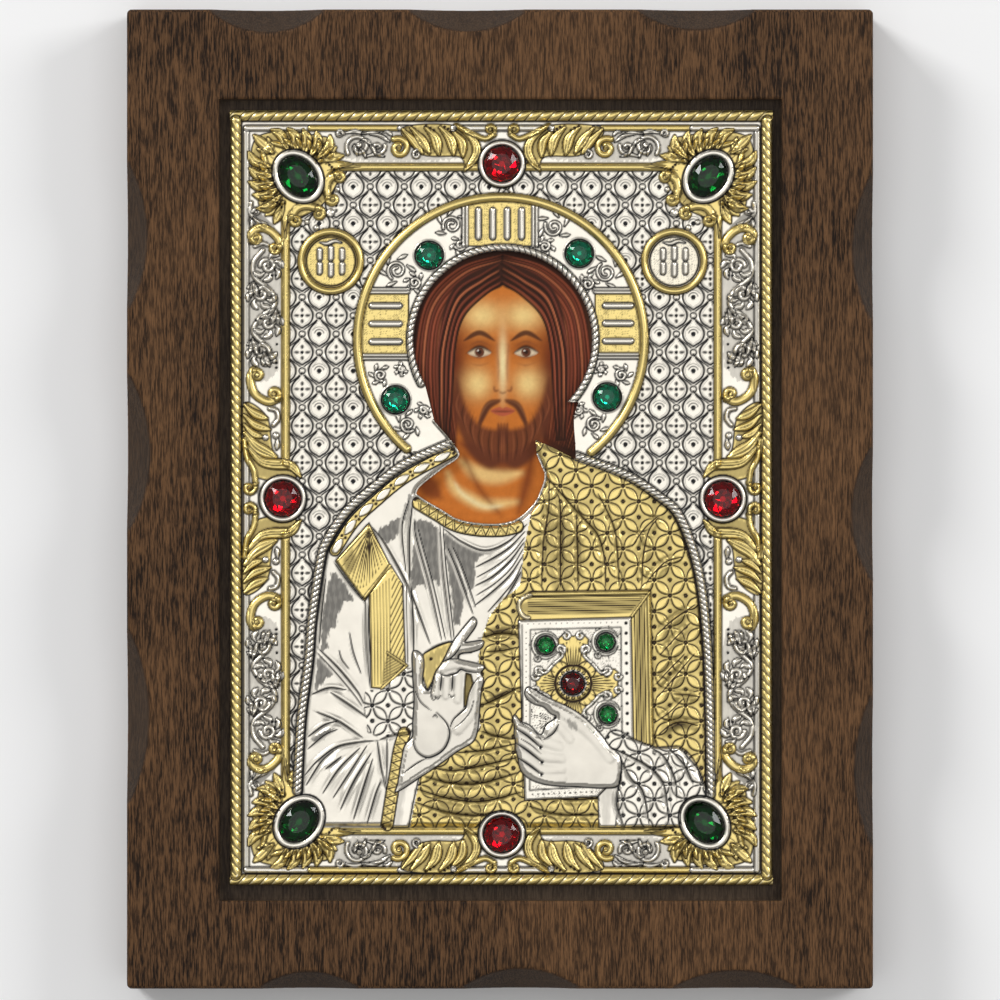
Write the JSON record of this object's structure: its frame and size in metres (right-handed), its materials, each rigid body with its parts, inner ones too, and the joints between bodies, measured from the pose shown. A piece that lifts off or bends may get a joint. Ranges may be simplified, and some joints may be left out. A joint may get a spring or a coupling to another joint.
{
  "type": "icon panel",
  "caption": "Wooden panel with scooped edges and an embossed, part-gilt metal cover over a painted figure, set with cut stones.",
  "frame": {"origin": "middle of the board's flat back, which the panel lies on", "axes": "+X to the viewer's right across the picture, +Y to the top of the picture, +Z out of the picture's face"},
  "size_m": [0.16, 0.21, 0.0204],
  "materials": {
    "stained_wood": "dark brown stain over a fine straight grain, nearly black in the scooped edges and in the groove round the cover",
    "painting": "smooth painted surface in warm browns and ochres",
    "embossed_silver": "bright embossed silver, part gilt, with black patina in the lines",
    "green_glass": "deep green cut glass, polished",
    "red_glass": "crimson cut glass, polished",
    "sea_green_glass": "blue-green cut glass, polished",
    "small_green_glass": "bright green cut glass, polished",
    "dark_red_glass": "dark brownish red cut glass, polished"
  },
  "bodies": {
    "root": {"board": "stained_wood", "painted_panel": "painting", "metal_cover": "embossed_silver", "stone_corner_top_left": "green_glass", "stone_corner_top_right": "green_glass", "stone_corner_bottom_left": "green_glass", "stone_corner_bottom_right": "green_glass", "stone_side_top": "red_glass", "stone_side_bottom": "red_glass", "stone_side_left": "red_glass", "stone_side_right": "red_glass", "stone_halo_upper_left": "sea_green_glass", "stone_halo_upper_right": "sea_green_glass", "stone_halo_lower_left": "sea_green_glass", "stone_halo_lower_right": "sea_green_glass", "stone_book_upper_left": "small_green_glass", "stone_book_upper_right": "small_green_glass", "stone_book_lower_right": "small_green_glass", "stone_book_centre": "dark_red_glass"}
  },
  "joints": []
}
